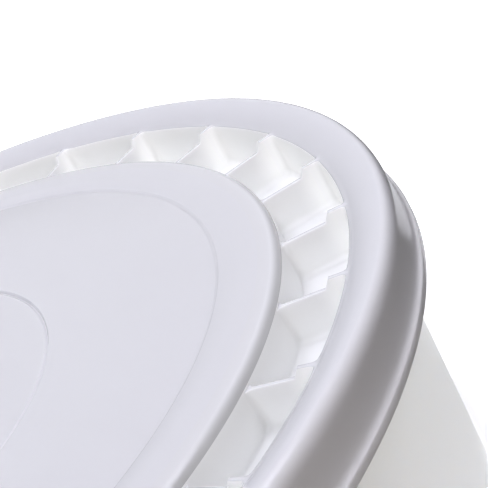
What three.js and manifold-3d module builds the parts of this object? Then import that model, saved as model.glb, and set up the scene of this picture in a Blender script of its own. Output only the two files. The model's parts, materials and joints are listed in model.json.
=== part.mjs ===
// A plastic fermenting bucket of about 30 litres, with its lid, airlock, wire bail and bottling tap.
// Millimetres, +Z up. The origin is the centre of the underside; the tap faces -Y and the bail
// turns about X.

import * as THREE from 'three';
import { mergeVertices } from 'three/addons/utils/BufferGeometryUtils.js';
import Module from 'manifold-3d';

const wasm = await Module();
wasm.setup();

// ---------------------------------------------------------------- driving dimensions

const BUCKET_HEIGHT = 396;        // underside to the top of the rim
const BASE_RADIUS = 148;          // outside of the wall at the bottom
const TOP_RADIUS = 164.8;         // outside of the wall at the rim
const WALL = 2.2;
const FLOOR_GAP = 2.5;            // the floor panel stands this far above the table
const FLOOR_THICKNESS = 2.6;
const PAD_RADIUS = 22;            // flat pad in the middle of the underside
const RIM_RADIUS = 168.2;         // outside of the rolled rim
const COLLAR_RADIUS = 167;        // outside of the stiffening collar
const COLLAR_TOP = 322;
const COLLAR_BOTTOM = 298;
const ROUND_STEPS = 60;           // facets round the bucket and the lid

const GAP = 0.3;                  // air left between pieces that touch

const LID_Z = BUCKET_HEIGHT + 4.5;  // height of the inner edge of the lid's rim
const LID_SHEET = 2;                // thickness of the lid's moulding
const LID_RADIUS = 173;             // outside of the bead at the foot of the skirt
const LID_SKIRT_FOOT = -12.4;       // foot of the skirt, from LID_Z
const LID_CROWN = 2.2;              // top of the crowned rim, from LID_Z
const DISK_RADIUS = 143;            // edge of the lid's flat disk
const MOAT_RADIUS = 159.9;          // outer wall of the moat between the disk and the rim
const MOAT_FLOOR = -12;             // from LID_Z
const RIB_COUNT = 30;
const RIB_THICKNESS = 1.2;
const RIB_TOP = -2.2;               // from LID_Z
const GROMMET_HOLE = 6.6;           // radius

const AIRLOCK_STEPS = 20;
const AIRLOCK_CUP_BOTTOM = 30;      // from LID_Z
const AIRLOCK_CUP_TOP = 72;
const AIRLOCK_CUP_RADIUS = 17.5;
const AIRLOCK_BORE = 3;

const BAIL_Z = 309;                 // height of the bail's pivot axis
const BAIL_HALF_WIDTH = 178;
const BAIL_REACH = 216;             // pivot axis to the middle of the grip
const BAIL_WIRE = 2;                // wire radius
const BAIL_REST = -37.5;            // degrees from level at the back, hanging on the wall
const EAR_FACE = 173.8;             // outer face of the ears, from the centre
const EAR_HOLE = 2.6;               // radius
const GRIP_LENGTH = 92;
const GRIP_RADIUS = 12.5;

const TAP_Z = 45;                   // height of the tap's axis
const TAP_FACE = 152.5;             // outer face of the tap boss, from the centre
const TAP_INNER_FACE = 144;         // inner face of the tap boss
const TAP_HOLE = 12.8;              // radius of the hole in the wall
const TAP_STEM = 12.2;              // radius of the threaded stem
const TAP_BORE = 6.5;
const TAP_HOUSING_Y = -186;         // axis of the tap's upright housing
const TAP_HOUSING_RADIUS = 13.5;
const TAP_PLUG = 9.2;               // radius of the turning plug
const TAP_HOUSING_BOTTOM = TAP_Z - 14;
const TAP_HOUSING_TOP = TAP_Z + 14;
const TAP_SPOUT_FOOT = 9;

// ---------------------------------------------------------------- materials

function plastic(color, roughness = 0.35) {
  return new THREE.MeshStandardMaterial({ color, roughness, metalness: 0 });
}

const wallPlastic = plastic(0xf2f1ee, 0.4);
const lidPlastic = plastic(0xe9e9f0, 0.32);
const clearPlastic = plastic(0xe4eef2, 0.08);
const tapPlastic = plastic(0xf0efeb, 0.4);
const leverPlastic = plastic(0xb3211f, 0.35);
const gripPlastic = plastic(0xf0f0ee, 0.45);
const greyRubber = plastic(0x4a4a4c, 0.8);
const whiteRubber = plastic(0xd9d6cd, 0.75);
const steel = new THREE.MeshStandardMaterial({ color: 0xb8bcc0, roughness: 0.3, metalness: 1 });

// ---------------------------------------------------------------- solids

/** Turns a three.js geometry into a manifold solid with its faces pointing out. */
function solid(geometry) {
  const bare = geometry.clone();
  bare.deleteAttribute('normal');
  bare.deleteAttribute('uv');
  const merged = mergeVertices(bare, 1e-4);
  const index = merged.index.array;
  const triangles = [];
  for (let i = 0; i < index.length; i += 3) {
    const [a, b, c] = [index[i], index[i + 1], index[i + 2]];
    if (a !== b && b !== c && c !== a) triangles.push(a, b, c);
  }
  if (signedVolume(merged.attributes.position, triangles) < 0) triangles.reverse();
  return new wasm.Manifold(new wasm.Mesh({
    numProp: 3,
    vertProperties: Float32Array.from(merged.attributes.position.array),
    triVerts: Uint32Array.from(triangles),
  }));
}

function signedVolume(position, triangles) {
  const corner = [new THREE.Vector3(), new THREE.Vector3(), new THREE.Vector3()];
  let sum = 0;
  for (let i = 0; i < triangles.length; i += 3) {
    corner.forEach((point, k) => point.fromBufferAttribute(position, triangles[i + k]));
    sum += corner[0].dot(corner[1].clone().cross(corner[2]));
  }
  return sum;
}

/** Turns a manifold solid back into a three.js geometry. */
function geometryOf(shape) {
  const mesh = shape.getMesh();
  const geometry = new THREE.BufferGeometry();
  geometry.setAttribute('position', new THREE.BufferAttribute(mesh.vertProperties, 3));
  geometry.setIndex(new THREE.BufferAttribute(mesh.triVerts, 1));
  geometry.computeVertexNormals();
  return geometry;
}

/** A solid of revolution about Z from [radius, height] points. */
function turned(points, steps, closed = false) {
  const outline = points.map(([radius, height]) => new THREE.Vector2(radius, height));
  if (closed) outline.push(outline[0].clone());
  const geometry = new THREE.LatheGeometry(outline, steps);
  geometry.rotateX(Math.PI / 2);
  return solid(geometry);
}

/** A ring of rectangular section about Z. */
function ring(inner, outer, low, high, steps) {
  return turned([[inner, low], [outer, low], [outer, high], [inner, high]], steps, true);
}

/** A cylinder about Z. */
function rod(radius, low, high, steps) {
  return turned([[0, low], [radius, low], [radius, high], [0, high]], steps);
}

/** A closed outline in XY, extruded from z = low to z = high. */
function slab(points, low, high) {
  const shape = new THREE.Shape(points.map(([x, y]) => new THREE.Vector2(x, y)));
  const geometry = new THREE.ExtrudeGeometry(shape, { depth: high - low, bevelEnabled: false });
  geometry.translate(0, 0, low);
  return solid(geometry);
}

/** Points of an arc from one angle to another, in degrees, with both ends. */
function arc(centreX, centreY, radius, from, to, steps) {
  const points = [];
  for (let i = 0; i <= steps; i += 1) {
    const angle = THREE.MathUtils.degToRad(from + (to - from) * i / steps);
    points.push([centreX + radius * Math.cos(angle), centreY + radius * Math.sin(angle)]);
  }
  return points;
}

/** Stands a solid made about Z along -Y, so that its +Z end points out of the tap's side. */
function facingFront(shape) {
  return shape.rotate([90, 0, 0]).translate([0, 0, TAP_Z]);
}

function node(name, shape, material) {
  const mesh = new THREE.Mesh(geometryOf(shape), material);
  mesh.name = name;
  return mesh;
}

// ---------------------------------------------------------------- bucket

/** Outside radius of the tapered wall at a height. */
function wallRadius(z) {
  return BASE_RADIUS + (TOP_RADIUS - BASE_RADIUS) * z / BUCKET_HEIGHT;
}

function bucketShell() {
  const floorTop = FLOOR_GAP + FLOOR_THICKNESS;
  const collarInside = COLLAR_RADIUS - 2;
  const profile = [
    [0, 0],
    [PAD_RADIUS, 0],
    [PAD_RADIUS + 3, FLOOR_GAP],
    [136, FLOOR_GAP],
    [139, 0],
    [145, 0],
    [147.5, 1.5],
    [wallRadius(5), 5],
    [wallRadius(COLLAR_TOP - 4), COLLAR_TOP - 4],
    [collarInside, COLLAR_TOP - 5],
    [collarInside, COLLAR_BOTTOM],
    [COLLAR_RADIUS, COLLAR_BOTTOM],
    [COLLAR_RADIUS, COLLAR_TOP - 2],
    [wallRadius(COLLAR_TOP), COLLAR_TOP],
    [wallRadius(BUCKET_HEIGHT - 6.5), BUCKET_HEIGHT - 6.5],
    [RIM_RADIUS, BUCKET_HEIGHT - 5],
    [RIM_RADIUS, BUCKET_HEIGHT - 1.4],
    [RIM_RADIUS - 1.2, BUCKET_HEIGHT],
    [TOP_RADIUS - WALL + 1, BUCKET_HEIGHT],
    [TOP_RADIUS - WALL, BUCKET_HEIGHT - 1],
    [wallRadius(floorTop + 7) - WALL, floorTop + 7],
    [wallRadius(floorTop) - WALL - 5, floorTop],
    [0, floorTop],
  ];
  return turned(profile, ROUND_STEPS);
}

/** One ear at +X: a boss with a blind socket for the end of the bail. */
function ear() {
  const root = wallRadius(BAIL_Z) - 1.2;
  const low = BAIL_Z - 15;
  const high = BAIL_Z + 12;
  const outline = [[-high, -10], [-low - 4, -15], [-low, -11], [-low, 11], [-low - 4, 15], [-high, 10]];
  const boss = slab(outline, root, EAR_FACE).rotate([0, 90, 0]);
  const socket = rod(EAR_HOLE, root + 3, EAR_FACE + 1, 16).rotate([0, 90, 0]).translate([0, 0, BAIL_Z]);
  return { boss, socket };
}

function bucketBody() {
  const { boss, socket } = ear();
  const turn = (shape) => shape.rotate([0, 0, 180]);
  const tapBoss = facingFront(rod(25, TAP_INNER_FACE, TAP_FACE, 32));
  const tapHole = facingFront(rod(TAP_HOLE, TAP_INNER_FACE - 8, TAP_FACE + 8, 32));
  return bucketShell()
    .add(boss)
    .add(turn(boss))
    .add(tapBoss)
    .subtract(socket)
    .subtract(turn(socket))
    .subtract(tapHole);
}

// ---------------------------------------------------------------- lid

/** The lid's section: disk, moat, crowned rim and skirt. Heights are from LID_Z. */
function lidSection() {
  const top = [
    [GROMMET_HOLE, -0.2],
    [82.2, -0.2],
    [82.8, 0.2],
    [126.9, 0.2],
    [127.5, 0.6],
    [141.4, 0.7],
    [DISK_RADIUS, -0.9],
    [DISK_RADIUS + 0.7, MOAT_FLOOR],
    [MOAT_RADIUS - 0.8, MOAT_FLOOR],
    [MOAT_RADIUS, -0.6],
    [MOAT_RADIUS + 1.2, 0.6],
    [166.5, LID_CROWN - 0.2],
    [168.6, LID_CROWN],
    [170.3, LID_CROWN - 1],
    [171.2, -1],
    [171.5, -9.2],
    [LID_RADIUS, -10.1],
    [LID_RADIUS, LID_SKIRT_FOOT],
  ];
  const underside = [
    [170.2, LID_SKIRT_FOOT],
    [168.8, -10.2],
    [169.3, -8.4],
    [169.2, -0.8],
    [168.4, LID_CROWN - LID_SHEET - 0.2],
    [162.6, -1.3],
    [MOAT_RADIUS + LID_SHEET, -2.4],
    [MOAT_RADIUS + 1.4, MOAT_FLOOR - 1],
    [MOAT_RADIUS + 0.6, MOAT_FLOOR - LID_SHEET],
    [DISK_RADIUS - 0.6, MOAT_FLOOR - LID_SHEET],
    [DISK_RADIUS - 1.6, MOAT_FLOOR - 1],
    [DISK_RADIUS - 2.2, -1.6],
    [GROMMET_HOLE, -0.2 - LID_SHEET],
  ];
  return [...top, ...underside];
}

/** One thin upright rib across the moat, with its top stepped up to meet the rim. */
function lidRib() {
  const outline = [
    [DISK_RADIUS - 0.8, MOAT_FLOOR - 0.8],
    [MOAT_RADIUS + 0.8, MOAT_FLOOR - 0.8],
    [MOAT_RADIUS + 0.8, -0.2],
    [155.9, -0.2],
    [154.3, RIB_TOP],
    [DISK_RADIUS - 0.8, RIB_TOP],
  ];
  return slab(outline, -RIB_THICKNESS / 2, RIB_THICKNESS / 2).rotate([90, 0, 0]);
}

function lid() {
  let shape = turned(lidSection(), ROUND_STEPS, true);
  const rib = lidRib();
  for (let i = 0; i < RIB_COUNT; i += 1) {
    shape = shape.add(rib.rotate([0, 0, 360 * i / RIB_COUNT]));
  }
  return shape.translate([0, 0, LID_Z]);
}

/** The rubber seal between the lid's rim and the bucket's rim. */
function lidGasket() {
  const low = BUCKET_HEIGHT + GAP;
  const high = LID_Z - 1.6;
  const section = [[163, low], [168, low], [168.3, low + 1], [167.4, high], [163.4, high], [162.7, low + 1]];
  return turned(section, ROUND_STEPS, true);
}

// ---------------------------------------------------------------- airlock

function airlockGrommet() {
  const hole = GROMMET_HOLE - GAP;
  const above = -0.2 + GAP;
  const below = -0.2 - LID_SHEET - GAP;
  const section = [
    [4.9, below - 2.4],
    [8.4, below - 2.4],
    [9.4, below],
    [hole, below],
    [hole, above],
    [9.8, above],
    [9.4, above + 2],
    [5.4, above + 2.8],
    [4.9, above + 2.2],
  ];
  return turned(section, AIRLOCK_STEPS, true).translate([0, 0, LID_Z]);
}

function airlockBody() {
  const cup = AIRLOCK_CUP_RADIUS;
  const section = [
    [AIRLOCK_BORE, -24],
    [4.1, -24],
    [4.5, 4],
    [5.2, 22],
    [8, 25],
    [cup - 1.5, AIRLOCK_CUP_BOTTOM],
    [cup - 0.6, AIRLOCK_CUP_TOP - 1],
    [cup, AIRLOCK_CUP_TOP],
    [cup - 1.4, AIRLOCK_CUP_TOP],
    [cup - 3, AIRLOCK_CUP_BOTTOM + 2],
    [7, AIRLOCK_CUP_BOTTOM - 2],
    [4.6, AIRLOCK_CUP_BOTTOM + 1],
    [4.3, AIRLOCK_CUP_TOP - 18],
    [AIRLOCK_BORE, AIRLOCK_CUP_TOP - 18],
  ];
  return turned(section, AIRLOCK_STEPS, true).translate([0, 0, LID_Z]);
}

/** The small inverted cup that rides on the gas over the centre tube. */
function airlockFloat() {
  const low = AIRLOCK_CUP_BOTTOM - 0.8;
  const top = AIRLOCK_CUP_TOP - 16;
  const section = [
    [0, top + 1],
    [5.6, top - 0.4],
    [6.6, low],
    [8.4, low],
    [7.6, top],
    [6.2, top + 1.4],
    [1.4, top + 2.6],
    [0, top + 2.8],
  ];
  return turned(section, AIRLOCK_STEPS).translate([0, 0, LID_Z]);
}

/** The push-on cap: a disk with a short skirt outside the cup and six vent holes. */
function airlockCap() {
  const inside = AIRLOCK_CUP_RADIUS + 0.4;
  const high = AIRLOCK_CUP_TOP + GAP;
  const section = [
    [0, high],
    [inside, high],
    [inside, high - 7],
    [inside + 1.3, high - 7],
    [inside + 1.3, high + 1],
    [inside, high + 1.8],
    [4, high + 1.8],
    [3, high + 3.2],
    [0, high + 3.2],
  ];
  let shape = turned(section, AIRLOCK_STEPS);
  for (let i = 0; i < 6; i += 1) {
    const hole = rod(1.2, high - 1, high + 3, 8).translate([10, 0, 0]);
    shape = shape.subtract(hole.rotate([0, 0, 60 * i]));
  }
  return shape.translate([0, 0, LID_Z]);
}

// ---------------------------------------------------------------- bail

/** The right half of the wire, from the end in its ear to the grip, in the bail's own plane. */
function bailHalf() {
  const bend = 5.5;
  const knee = BAIL_HALF_WIDTH - bend;
  const path = new THREE.CurvePath();
  const at = (x, reach) => new THREE.Vector3(x, reach, 0);
  path.add(new THREE.LineCurve3(at(166, 0), at(knee, 0)));
  path.add(new THREE.QuadraticBezierCurve3(at(knee, 0), at(BAIL_HALF_WIDTH, 0), at(BAIL_HALF_WIDTH, bend)));
  path.add(new THREE.LineCurve3(at(BAIL_HALF_WIDTH, bend), at(BAIL_HALF_WIDTH, 26)));
  path.add(new THREE.CubicBezierCurve3(
    at(BAIL_HALF_WIDTH, 26),
    at(BAIL_HALF_WIDTH, 170),
    at(140, BAIL_REACH),
    at(GRIP_LENGTH / 2 + 6, BAIL_REACH),
  ));
  path.add(new THREE.LineCurve3(at(GRIP_LENGTH / 2 + 6, BAIL_REACH), at(0, BAIL_REACH)));
  return path;
}

/** The whole wire: both halves sampled where they bend. */
function bailWire() {
  const half = [];
  const steps = [1, 5, 1, 13, 1];
  bailHalf().curves.forEach((curve, i) => {
    const points = curve.getPoints(steps[i]);
    half.push(...(i === 0 ? points : points.slice(1)));
  });
  const other = half.slice(0, -1).reverse().map((point) => new THREE.Vector3(-point.x, point.y, 0));
  return tube([...half.slice(0, -1), ...other], BAIL_WIRE, 8);
}

/** A tube through a list of points, mitred at each. */
function tube(points, radius, sides) {
  const section = new THREE.Shape(
    arc(0, 0, radius, 0, 360 - 360 / sides, sides - 1).map(([x, y]) => new THREE.Vector2(x, y)),
  );
  const path = new PolylineCurve(points);
  const geometry = new THREE.ExtrudeGeometry(section, {
    steps: points.length - 1,
    bevelEnabled: false,
    extrudePath: path,
  });
  return solid(geometry);
}

/** A curve whose even steps land on the points of a list. */
class PolylineCurve extends THREE.Curve {
  constructor(points) {
    super();
    this.points = points;
  }

  getPoint(t, target = new THREE.Vector3()) {
    const last = this.points.length - 1;
    const place = Math.min(Math.max(t, 0), 1) * last;
    const index = Math.min(Math.floor(place), last - 1);
    return target.lerpVectors(this.points[index], this.points[index + 1], place - index);
  }

  getPointAt(u, target) {
    return this.getPoint(u, target);
  }

  getTangent(t, target = new THREE.Vector3()) {
    const last = this.points.length - 1;
    const index = Math.round(t * last);
    const before = this.points[Math.max(index - 1, 0)];
    const after = this.points[Math.min(index + 1, last)];
    return target.subVectors(after, before).normalize();
  }

  getTangentAt(u, target) {
    return this.getTangent(u, target);
  }
}

/** The roller on the middle of the wire, slightly waisted. */
function handleGrip() {
  const half = GRIP_LENGTH / 2;
  const bore = BAIL_WIRE + 0.5;
  const section = [
    [bore, -half],
    [GRIP_RADIUS - 1.5, -half],
    [GRIP_RADIUS, -half + 2],
    [GRIP_RADIUS - 1, 0],
    [GRIP_RADIUS, half - 2],
    [GRIP_RADIUS - 1.5, half],
    [bore, half],
  ];
  return turned(section, 20, true).rotate([0, 90, 0]).translate([0, BAIL_REACH, 0]);
}

/** Hangs a piece made in the bail's own plane at the back of the bucket. */
function hung(shape) {
  return shape.rotate([BAIL_REST, 0, 0]).translate([0, 0, BAIL_Z]);
}

// ---------------------------------------------------------------- tap

const flangeIn = TAP_FACE + GAP + 2.5 + GAP;
const stemEnd = TAP_INNER_FACE - 22;
const nutOut = TAP_INNER_FACE - GAP - 2.5 - GAP;
const nutIn = nutOut - 9;

function tapBody() {
  const housingDistance = -TAP_HOUSING_Y;
  const barrel = facingFront(turned([
    [0, stemEnd],
    [TAP_STEM - 1, stemEnd],
    [TAP_STEM, stemEnd + 1],
    [TAP_STEM, flangeIn],
    [19, flangeIn],
    [19, flangeIn + 3],
    [17.5, flangeIn + 4],
    [11, flangeIn + 4.6],
    [10, housingDistance],
    [0, housingDistance],
  ], 24));
  const housing = rod(TAP_HOUSING_RADIUS, TAP_HOUSING_BOTTOM - 3, TAP_HOUSING_TOP, 28);
  const spout = turned([
    [0, TAP_SPOUT_FOOT],
    [7.6, TAP_SPOUT_FOOT],
    [8.4, TAP_SPOUT_FOOT + 1],
    [9, TAP_HOUSING_BOTTOM - 3],
    [0, TAP_HOUSING_BOTTOM + 1],
  ], 28);
  const plugBore = rod(TAP_PLUG + GAP, TAP_HOUSING_BOTTOM, TAP_HOUSING_TOP + 1, 28);
  const spoutBore = rod(TAP_BORE - 0.3, TAP_SPOUT_FOOT - 1, TAP_HOUSING_BOTTOM + 1, 20);
  const barrelBore = facingFront(rod(TAP_BORE, stemEnd - 1, housingDistance, 20));
  const upright = (shape) => shape.translate([0, TAP_HOUSING_Y, 0]);
  return barrel
    .add(upright(housing))
    .add(upright(spout))
    .subtract(upright(plugBore))
    .subtract(upright(spoutBore))
    .subtract(barrelBore);
}

/** The turning plug with its lever. Shut, its side port faces -X and the lever points to +X. */
function tapLever() {
  const foot = TAP_HOUSING_BOTTOM + GAP;
  const cap = TAP_HOUSING_TOP + GAP;
  const body = turned([
    [0, foot],
    [TAP_PLUG, foot],
    [TAP_PLUG, cap],
    [14, cap],
    [14, cap + 4],
    [12.5, cap + 5.5],
    [0, cap + 5.5],
  ], 28);
  const paddle = slab([
    [0, -6],
    [18, -4.5],
    ...arc(38, 0, 7.5, -90, 90, 8),
    [18, 4.5],
    [0, 6],
  ], cap + 0.6, cap + 5);
  const cavity = rod(TAP_BORE - 0.3, foot - 1, TAP_Z + TAP_BORE, 20);
  const port = rod(TAP_BORE, 0, 20, 20).rotate([0, -90, 0]).translate([0, 0, TAP_Z]);
  return body
    .add(paddle)
    .subtract(cavity)
    .subtract(port)
    .translate([0, TAP_HOUSING_Y, 0]);
}

function tapWasher(near) {
  return facingFront(ring(TAP_STEM + GAP, 19.5, near, near + 2.5, 28));
}

function tapNut() {
  const hexagon = turned([[0, nutIn], [21, nutIn], [21, nutOut], [0, nutOut]], 6);
  const hole = rod(TAP_STEM + GAP, nutIn - 1, nutOut + 1, 28);
  return facingFront(hexagon.subtract(hole));
}

/** The cap on the inner end of the stem that keeps the sediment out; its opening faces up. */
function sedimentReducer() {
  const open = nutIn - GAP;
  const end = stemEnd - 10;
  const cap = turned([
    [0, end],
    [12.5, end],
    [15, end + 3],
    [15, open],
    [TAP_STEM + GAP, open],
    [TAP_STEM + GAP, stemEnd - 2],
    [TAP_STEM - 1.5, end + 2.5],
    [0, end + 2.5],
  ], 24);
  const slotOutline = [[-5, 4], [5, 4], [5, 18], [-5, 18]];
  const slot = slab(slotOutline, end + 3, stemEnd - 1);
  return facingFront(cap.subtract(slot));
}

// ---------------------------------------------------------------- assembly

const fermentingBucket = new THREE.Group();
fermentingBucket.add(
  node('bucket_body', bucketBody(), wallPlastic),
  node('lid', lid(), lidPlastic),
  node('lid_gasket', lidGasket(), whiteRubber),
  node('airlock_grommet', airlockGrommet(), greyRubber),
  node('airlock_body', airlockBody(), clearPlastic),
  node('airlock_float', airlockFloat(), clearPlastic),
  node('airlock_cap', airlockCap(), clearPlastic),
  node('bail_handle', hung(bailWire()), steel),
  node('handle_grip', hung(handleGrip()), gripPlastic),
  node('tap_body', tapBody(), tapPlastic),
  node('tap_lever', tapLever(), leverPlastic),
  node('tap_washer_outer', tapWasher(TAP_FACE + GAP), greyRubber),
  node('tap_washer_inner', tapWasher(TAP_INNER_FACE - GAP - 2.5), greyRubber),
  node('tap_nut', tapNut(), tapPlastic),
  node('sediment_reducer', sedimentReducer(), tapPlastic),
);

export default fermentingBucket;
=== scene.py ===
"""The looks of a plastic fermenting bucket with its lid, airlock, bail and tap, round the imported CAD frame.

Lengths are in millimetres, and become metres where a mesh or an object is made."""
import json
import math

import bmesh
import bpy
from mathutils import Matrix, Vector

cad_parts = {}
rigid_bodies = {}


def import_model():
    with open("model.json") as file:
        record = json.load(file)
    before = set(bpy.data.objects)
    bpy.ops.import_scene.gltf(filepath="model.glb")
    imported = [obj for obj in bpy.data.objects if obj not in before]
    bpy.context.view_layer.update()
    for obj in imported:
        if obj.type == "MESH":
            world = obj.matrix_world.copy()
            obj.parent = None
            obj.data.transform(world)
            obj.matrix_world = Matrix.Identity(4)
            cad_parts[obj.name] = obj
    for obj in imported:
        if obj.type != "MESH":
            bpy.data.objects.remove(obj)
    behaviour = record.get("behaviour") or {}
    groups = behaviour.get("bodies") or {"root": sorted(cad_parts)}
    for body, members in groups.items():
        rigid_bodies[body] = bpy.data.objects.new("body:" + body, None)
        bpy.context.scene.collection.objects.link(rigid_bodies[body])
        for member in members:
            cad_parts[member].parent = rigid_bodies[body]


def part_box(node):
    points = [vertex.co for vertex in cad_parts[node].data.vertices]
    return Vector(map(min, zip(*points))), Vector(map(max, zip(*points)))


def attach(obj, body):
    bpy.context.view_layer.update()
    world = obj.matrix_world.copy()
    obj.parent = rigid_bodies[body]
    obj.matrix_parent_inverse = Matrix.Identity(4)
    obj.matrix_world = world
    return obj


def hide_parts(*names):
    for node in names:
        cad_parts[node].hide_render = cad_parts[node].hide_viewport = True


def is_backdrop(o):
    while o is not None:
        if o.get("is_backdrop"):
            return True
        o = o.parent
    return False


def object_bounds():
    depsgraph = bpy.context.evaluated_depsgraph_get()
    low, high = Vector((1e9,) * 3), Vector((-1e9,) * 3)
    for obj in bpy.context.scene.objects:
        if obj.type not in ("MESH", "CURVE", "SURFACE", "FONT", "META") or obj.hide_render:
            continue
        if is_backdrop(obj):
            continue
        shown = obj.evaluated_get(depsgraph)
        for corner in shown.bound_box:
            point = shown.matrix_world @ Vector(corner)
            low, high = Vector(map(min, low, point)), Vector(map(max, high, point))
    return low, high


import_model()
CAD_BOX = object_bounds()
MM = 0.001


def add_object(name, data):
    """A new object in the scene."""
    made = bpy.data.objects.new(name, data)
    bpy.context.scene.collection.objects.link(made)
    return made


# ------------------------------------------------------------------ places taken from the frame

LID_LOW, LID_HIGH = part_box("lid")
LID_RADIUS = (LID_HIGH.x - LID_LOW.x) / 2 / MM      # outside of the bead at the foot of the skirt
CROWN = 2.2                                         # the rim's crown stands this far above its inner edge
LID_Z = LID_HIGH.z / MM - CROWN                     # height of the rim's inner edge
RIM_RADIUS = LID_RADIUS - 2.0                       # outline of the crowned rim

# ------------------------------------------------------------------ camera


def turned(one, two, angle):
    """Two directions after a turn in their own plane."""
    return one * math.cos(angle) + two * math.sin(angle), two * math.cos(angle) - one * math.sin(angle)


def make_camera():
    """The viewing angle: close to the right-hand end of the lid, from 20 degrees above it, rolled over."""
    azimuth, elevation = math.radians(-43.92), math.radians(20.14)
    distance = 2.521 * RIM_RADIUS * MM
    yaw, pitch, roll = math.radians(17.9), math.radians(-2.96), math.radians(-36.32)
    level = math.cos(elevation)
    back = Vector((math.sin(azimuth) * level, -math.cos(azimuth) * level, math.sin(elevation)))
    ahead = -back
    right = ahead.cross(Vector((0, 0, 1))).normalized()
    up = right.cross(ahead)
    ahead, right = turned(ahead, right, yaw)
    ahead, up = turned(ahead, up, pitch)
    right, up = turned(right, up, roll)
    camera = add_object("camera", bpy.data.cameras.new("camera"))
    camera.data.sensor_width = 36
    camera.data.lens = 126.2
    camera.data.clip_start = 0.01
    turn = Matrix((right, up, -ahead)).transposed().to_4x4()
    camera.matrix_world = Matrix.Translation(Vector((0, 0, LID_Z * MM)) + back * distance) @ turn
    bpy.context.scene.camera = camera


make_camera()

# ------------------------------------------------------------------ mesh helpers

WELD = 0.004                        # points closer than this become one


class Shell:
    """Collects patches of points and welds them into one mesh."""

    def __init__(self):
        self.points = []
        self.faces = []

    def row(self, points):
        """Adds points and gives their numbers."""
        first = len(self.points)
        self.points.extend(points)
        return list(range(first, first + len(points)))

    def join(self, one, two, closed=False):
        """Quads between two rows of the same length."""
        count = len(one)
        for i in range(count if closed else count - 1):
            j = (i + 1) % count
            self.faces.append((one[i], one[j], two[j], two[i]))

    def rows(self, rows, closed=False):
        """Adds rows of points, each joined to the next."""
        made = [self.row(points) for points in rows]
        for one, two in zip(made, made[1:]):
            self.join(one, two, closed)
        return made

    def fan(self, tip, rim):
        """Triangles from one point to a row."""
        for one, two in zip(rim, rim[1:]):
            self.faces.append((tip, one, two))

    def mesh(self, name, turn=Matrix()):
        data = bpy.data.meshes.new(name)
        data.from_pydata([(turn @ Vector(p)) * MM for p in self.points], [], self.faces)
        work = bmesh.new()
        work.from_mesh(data)
        bmesh.ops.remove_doubles(work, verts=work.verts, dist=WELD * MM)
        bmesh.ops.dissolve_degenerate(work, edges=work.edges, dist=WELD * MM / 4)
        bmesh.ops.recalc_face_normals(work, faces=work.faces)
        work.to_mesh(data)
        work.free()
        return data


def smooth(data, angle):
    """Smooth shading, but for edges sharper than an angle in degrees."""
    data.polygons.foreach_set("use_smooth", [True] * len(data.polygons))
    data.set_sharp_from_angle(angle=math.radians(angle))


def place(name, data, body, material, node, angle=38):
    """Makes the object of a mesh, rides it on its body and lets it stand for a CAD node."""
    smooth(data, angle)
    piece = add_object(name, data)
    data.materials.clear()
    data.materials.append(material)
    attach(piece, body)
    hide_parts(node)
    return piece


def polar(radius, angle, z):
    return (radius * math.cos(angle), radius * math.sin(angle), z)


def arc(centre, radius, start, end, steps):
    """Points of an arc in a section, angles in degrees."""
    angles = [math.radians(start + (end - start) * i / steps) for i in range(steps + 1)]
    return [(centre[0] + radius * math.cos(angle), centre[1] + radius * math.sin(angle)) for angle in angles]


# ------------------------------------------------------------------ materials


def tree(owner):
    """Nodes and links of a material or a world."""
    return owner.node_tree.nodes, owner.node_tree.links


def new_material(name, color, roughness, **inputs):
    """A plain material; inputs are the shader's other sockets, with _ for a space."""
    material = bpy.data.materials.new(name)
    material.use_nodes = True
    shader = material.node_tree.nodes["Principled BSDF"]
    shader.inputs["Base Color"].default_value = (*color, 1)
    shader.inputs["Roughness"].default_value = roughness
    for key, value in inputs.items():
        shader.inputs[key.replace("_", " ")].default_value = value
    return material


def moulded(name, color, roughness, grain=0.05, grain_scale=900, **inputs):
    """Moulded plastic: faint mottling of the colour and the gloss, and a very fine orange-peel surface."""
    material = new_material(name, color, roughness, **inputs)
    nodes, links = tree(material)
    shader = nodes["Principled BSDF"]
    where = nodes.new("ShaderNodeTexCoord")
    cloud = nodes.new("ShaderNodeTexNoise")
    cloud.inputs["Scale"].default_value = 18
    cloud.inputs["Detail"].default_value = 4
    links.new(where.outputs["Object"], cloud.inputs["Vector"])
    tint = nodes.new("ShaderNodeMix")
    tint.data_type = "RGBA"
    tint.inputs["A"].default_value = (*[c * 0.985 for c in color], 1)
    tint.inputs["B"].default_value = (*[min(c * 1.01, 1) for c in color], 1)
    links.new(cloud.outputs["Fac"], tint.inputs["Factor"])
    links.new(tint.outputs["Result"], shader.inputs["Base Color"])
    gloss = nodes.new("ShaderNodeMapRange")
    gloss.inputs["To Min"].default_value = roughness - 0.04
    gloss.inputs["To Max"].default_value = roughness + 0.04
    links.new(cloud.outputs["Fac"], gloss.inputs["Value"])
    links.new(gloss.outputs["Result"], shader.inputs["Roughness"])
    peel = nodes.new("ShaderNodeTexNoise")
    peel.inputs["Scale"].default_value = grain_scale
    peel.inputs["Detail"].default_value = 3
    links.new(where.outputs["Object"], peel.inputs["Vector"])
    bump = nodes.new("ShaderNodeBump")
    bump.inputs["Strength"].default_value = grain
    bump.inputs["Distance"].default_value = 0.0002
    links.new(peel.outputs["Fac"], bump.inputs["Height"])
    links.new(bump.outputs["Normal"], shader.inputs["Normal"])
    return material


SOFT = {"Subsurface_Weight": 1.0, "Subsurface_Radius": (1.0, 1.0, 1.0), "Subsurface_Scale": 0.004}
LID_PLASTIC = moulded("lid_plastic", (0.76, 0.76, 0.775), 0.12, grain=0.04, **SOFT)
# a copy of the lid's plastic that carries painted shade on the disk's rounded edge
EDGE_SHADE_PLASTIC = moulded("edge_shade_plastic", (0.76, 0.76, 0.765), 0.12, grain=0.04, **SOFT)
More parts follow.
